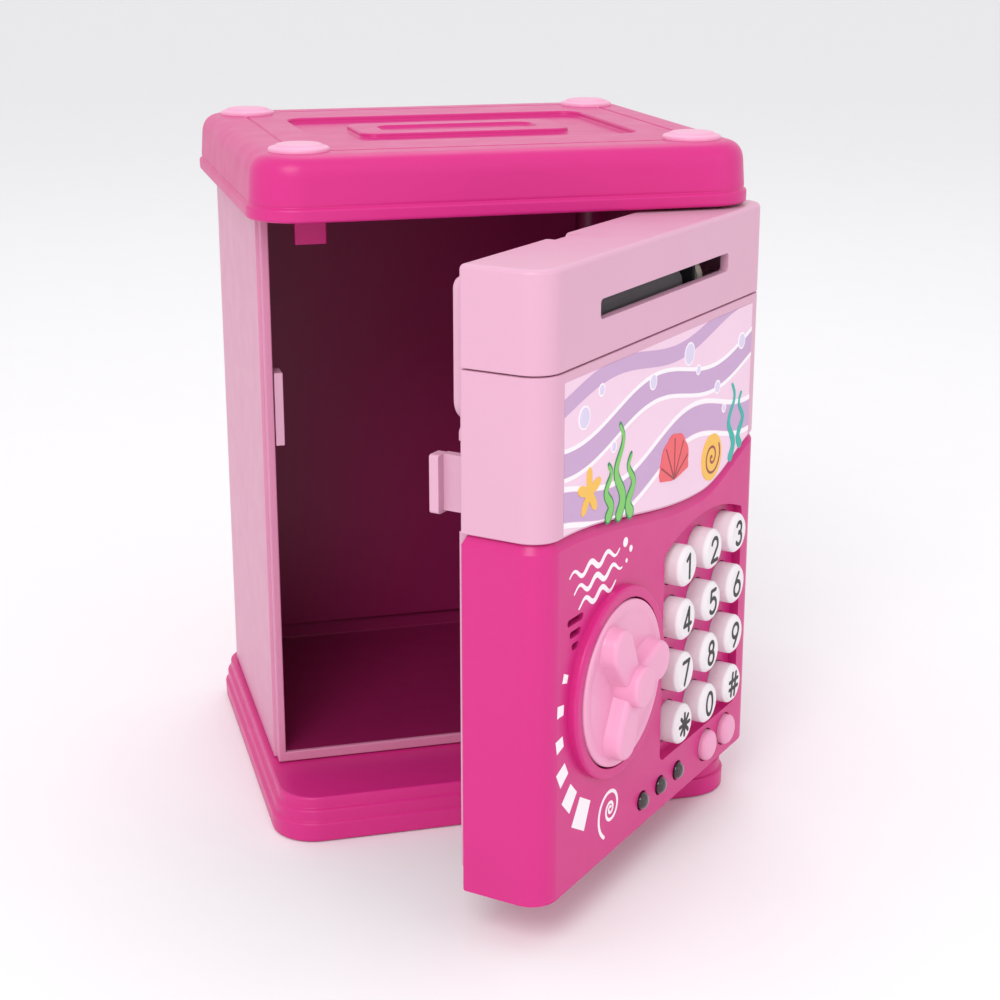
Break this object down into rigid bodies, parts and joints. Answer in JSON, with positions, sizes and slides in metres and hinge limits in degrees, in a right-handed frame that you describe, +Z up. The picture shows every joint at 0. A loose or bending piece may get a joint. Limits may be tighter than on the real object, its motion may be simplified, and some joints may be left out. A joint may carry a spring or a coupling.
{
  "type": "toy safe coin bank",
  "caption": "Toy safe money bank: overhanging lid with a coin slot, thick hinged door with keypad, dial lock, lamps, buttons and a banknote feeder.",
  "frame": {"origin": "on the flat underside of the base, below the middle of the closed bank", "axes": "+Z up, -Y towards the front of the closed door, +X to the hinge side"},
  "size_m": [0.1445, 0.2058, 0.1959],
  "materials": {
    "hot_pink": "gloss",
    "pale_pink": "satin",
    "dial_pink": "satin",
    "key_white": "satin",
    "led_lens": "gloss",
    "gear_white": "satin",
    "dark_plastic": "matte",
    "cell_skin": "satin",
    "steel": "satin",
    "rubber": "matte",
    "board": "satin"
  },
  "bodies": {
    "case": {"base": "hot_pink", "base_screw_1": "steel", "base_screw_2": "steel", "base_screw_3": "steel", "base_screw_4": "steel", "body_shell": "pale_pink", "rear_panel": "hot_pink", "latch_catch": "pale_pink", "lid": "hot_pink", "lid_cap_1": "dial_pink", "lid_cap_2": "dial_pink", "lid_cap_3": "dial_pink", "lid_cap_4": "dial_pink", "hinge_pin_lower": "steel", "hinge_pin_upper": "steel"},
    "door": {"door_head": "pale_pink", "door_middle": "pale_pink", "door_front": "hot_pink", "feeder_housing": "pale_pink", "door_back": "pale_pink", "battery_cover": "pale_pink", "battery_cover_screw": "steel", "battery_box": "dark_plastic", "battery_cell_1": "cell_skin", "battery_cell_2": "cell_skin", "battery_cell_3": "cell_skin", "lock_solenoid": "steel", "led_1": "led_lens", "led_2": "led_lens", "led_3": "led_lens", "keypad_mat": "rubber", "circuit_board": "board", "speaker": "dark_plastic", "feeder_frame": "dark_plastic", "feed_motor": "steel"},
    "dial_knob": {"dial": "dial_pink", "dial_pinion": "gear_white"},
    "latch": {"latch_bolt": "pale_pink"},
    "lower_roller": {"feed_roller": "rubber", "roller_gear": "gear_white"},
    "upper_roller": {"pinch_roller": "rubber"},
    "motor_shaft": {"motor_pinion": "gear_white"},
    "key_body_1": {"key_1": "key_white"},
    "key_body_2": {"key_2": "key_white"},
    "key_body_3": {"key_3": "key_white"},
    "key_body_4": {"key_4": "key_white"},
    "key_body_5": {"key_5": "key_white"},
    "key_body_6": {"key_6": "key_white"},
    "key_body_7": {"key_7": "key_white"},
    "key_body_8": {"key_8": "key_white"},
    "key_body_9": {"key_9": "key_white"},
    "key_body_star": {"key_star": "key_white"},
    "key_body_0": {"key_0": "key_white"},
    "key_body_hash": {"key_hash": "key_white"},
    "button_body_1": {"button_1": "dial_pink"},
    "button_body_2": {"button_2": "dial_pink"}
  },
  "joints": [
    {"name": "door_hinge", "type": "hinge", "parent": "case", "child": "door", "pos_m": [0.0615, -0.0408, 0.095], "axis": [0, 0, 1], "range_deg": [-45, 60]},
    {"name": "dial_turn", "type": "hinge", "parent": "door", "child": "dial_knob", "pos_m": [0.0125, -0.11696, 0.0632], "axis": [0.7071, -0.7071, 0], "range_deg": [-60, 0], "stiffness_Nm_per_rad": 0.06},
    {"name": "latch_slide", "type": "slide", "parent": "door", "child": "latch", "axis": [-0.7071, -0.7071, 0], "range_m": [-0.0048, 0]},
    {"name": "feed_roller_spin", "type": "hinge", "parent": "door", "child": "lower_roller", "pos_m": [0.0224, -0.08867, 0.1583], "axis": [0.7071, 0.7071, 0], "continuous": true},
    {"name": "pinch_roller_spin", "type": "hinge", "parent": "door", "child": "upper_roller", "pos_m": [0.0224, -0.08867, 0.1668], "axis": [0.7071, 0.7071, 0], "continuous": true},
    {"name": "motor_spin", "type": "hinge", "parent": "door", "child": "motor_shaft", "pos_m": [0.04644, -0.06463, 0.1487], "axis": [0.7071, 0.7071, 0], "continuous": true},
    {"name": "key_1_press", "type": "slide", "parent": "door", "child": "key_body_1", "axis": [-0.7071, 0.7071, 0], "range_m": [0, 0.0015], "stiffness_N_per_m": 250},
    {"name": "key_2_press", "type": "slide", "parent": "door", "child": "key_body_2", "axis": [-0.7071, 0.7071, 0], "range_m": [0, 0.0015], "stiffness_N_per_m": 250},
    {"name": "key_3_press", "type": "slide", "parent": "door", "child": "key_body_3", "axis": [-0.7071, 0.7071, 0], "range_m": [0, 0.0015], "stiffness_N_per_m": 250},
    {"name": "key_4_press", "type": "slide", "parent": "door", "child": "key_body_4", "axis": [-0.7071, 0.7071, 0], "range_m": [0, 0.0015], "stiffness_N_per_m": 250},
    {"name": "key_5_press", "type": "slide", "parent": "door", "child": "key_body_5", "axis": [-0.7071, 0.7071, 0], "range_m": [0, 0.0015], "stiffness_N_per_m": 250},
    {"name": "key_6_press", "type": "slide", "parent": "door", "child": "key_body_6", "axis": [-0.7071, 0.7071, 0], "range_m": [0, 0.0015], "stiffness_N_per_m": 250},
    {"name": "key_7_press", "type": "slide", "parent": "door", "child": "key_body_7", "axis": [-0.7071, 0.7071, 0], "range_m": [0, 0.0015], "stiffness_N_per_m": 250},
    {"name": "key_8_press", "type": "slide", "parent": "door", "child": "key_body_8", "axis": [-0.7071, 0.7071, 0], "range_m": [0, 0.0015], "stiffness_N_per_m": 250},
    {"name": "key_9_press", "type": "slide", "parent": "door", "child": "key_body_9", "axis": [-0.7071, 0.7071, 0], "range_m": [0, 0.0015], "stiffness_N_per_m": 250},
    {"name": "key_star_press", "type": "slide", "parent": "door", "child": "key_body_star", "axis": [-0.7071, 0.7071, 0], "range_m": [0, 0.0015], "stiffness_N_per_m": 250},
    {"name": "key_0_press", "type": "slide", "parent": "door", "child": "key_body_0", "axis": [-0.7071, 0.7071, 0], "range_m": [0, 0.0015], "stiffness_N_per_m": 250},
    {"name": "key_hash_press", "type": "slide", "parent": "door", "child": "key_body_hash", "axis": [-0.7071, 0.7071, 0], "range_m": [0, 0.0015], "stiffness_N_per_m": 250},
    {"name": "button_1_press", "type": "slide", "parent": "door", "child": "button_body_1", "axis": [-0.7071, 0.7071, 0], "range_m": [0, 0.0012], "stiffness_N_per_m": 250},
    {"name": "button_2_press", "type": "slide", "parent": "door", "child": "button_body_2", "axis": [-0.7071, 0.7071, 0], "range_m": [0, 0.0012], "stiffness_N_per_m": 250}
  ],
  "couplings": [
    {"joint": "latch_slide", "follows": "dial_turn", "m_per_rad": 0.0045},
    {"joint": "pinch_roller_spin", "follows": "feed_roller_spin", "ratio": -1.1111},
    {"joint": "motor_spin", "follows": "feed_roller_spin", "ratio": -2.4444}
  ]
}
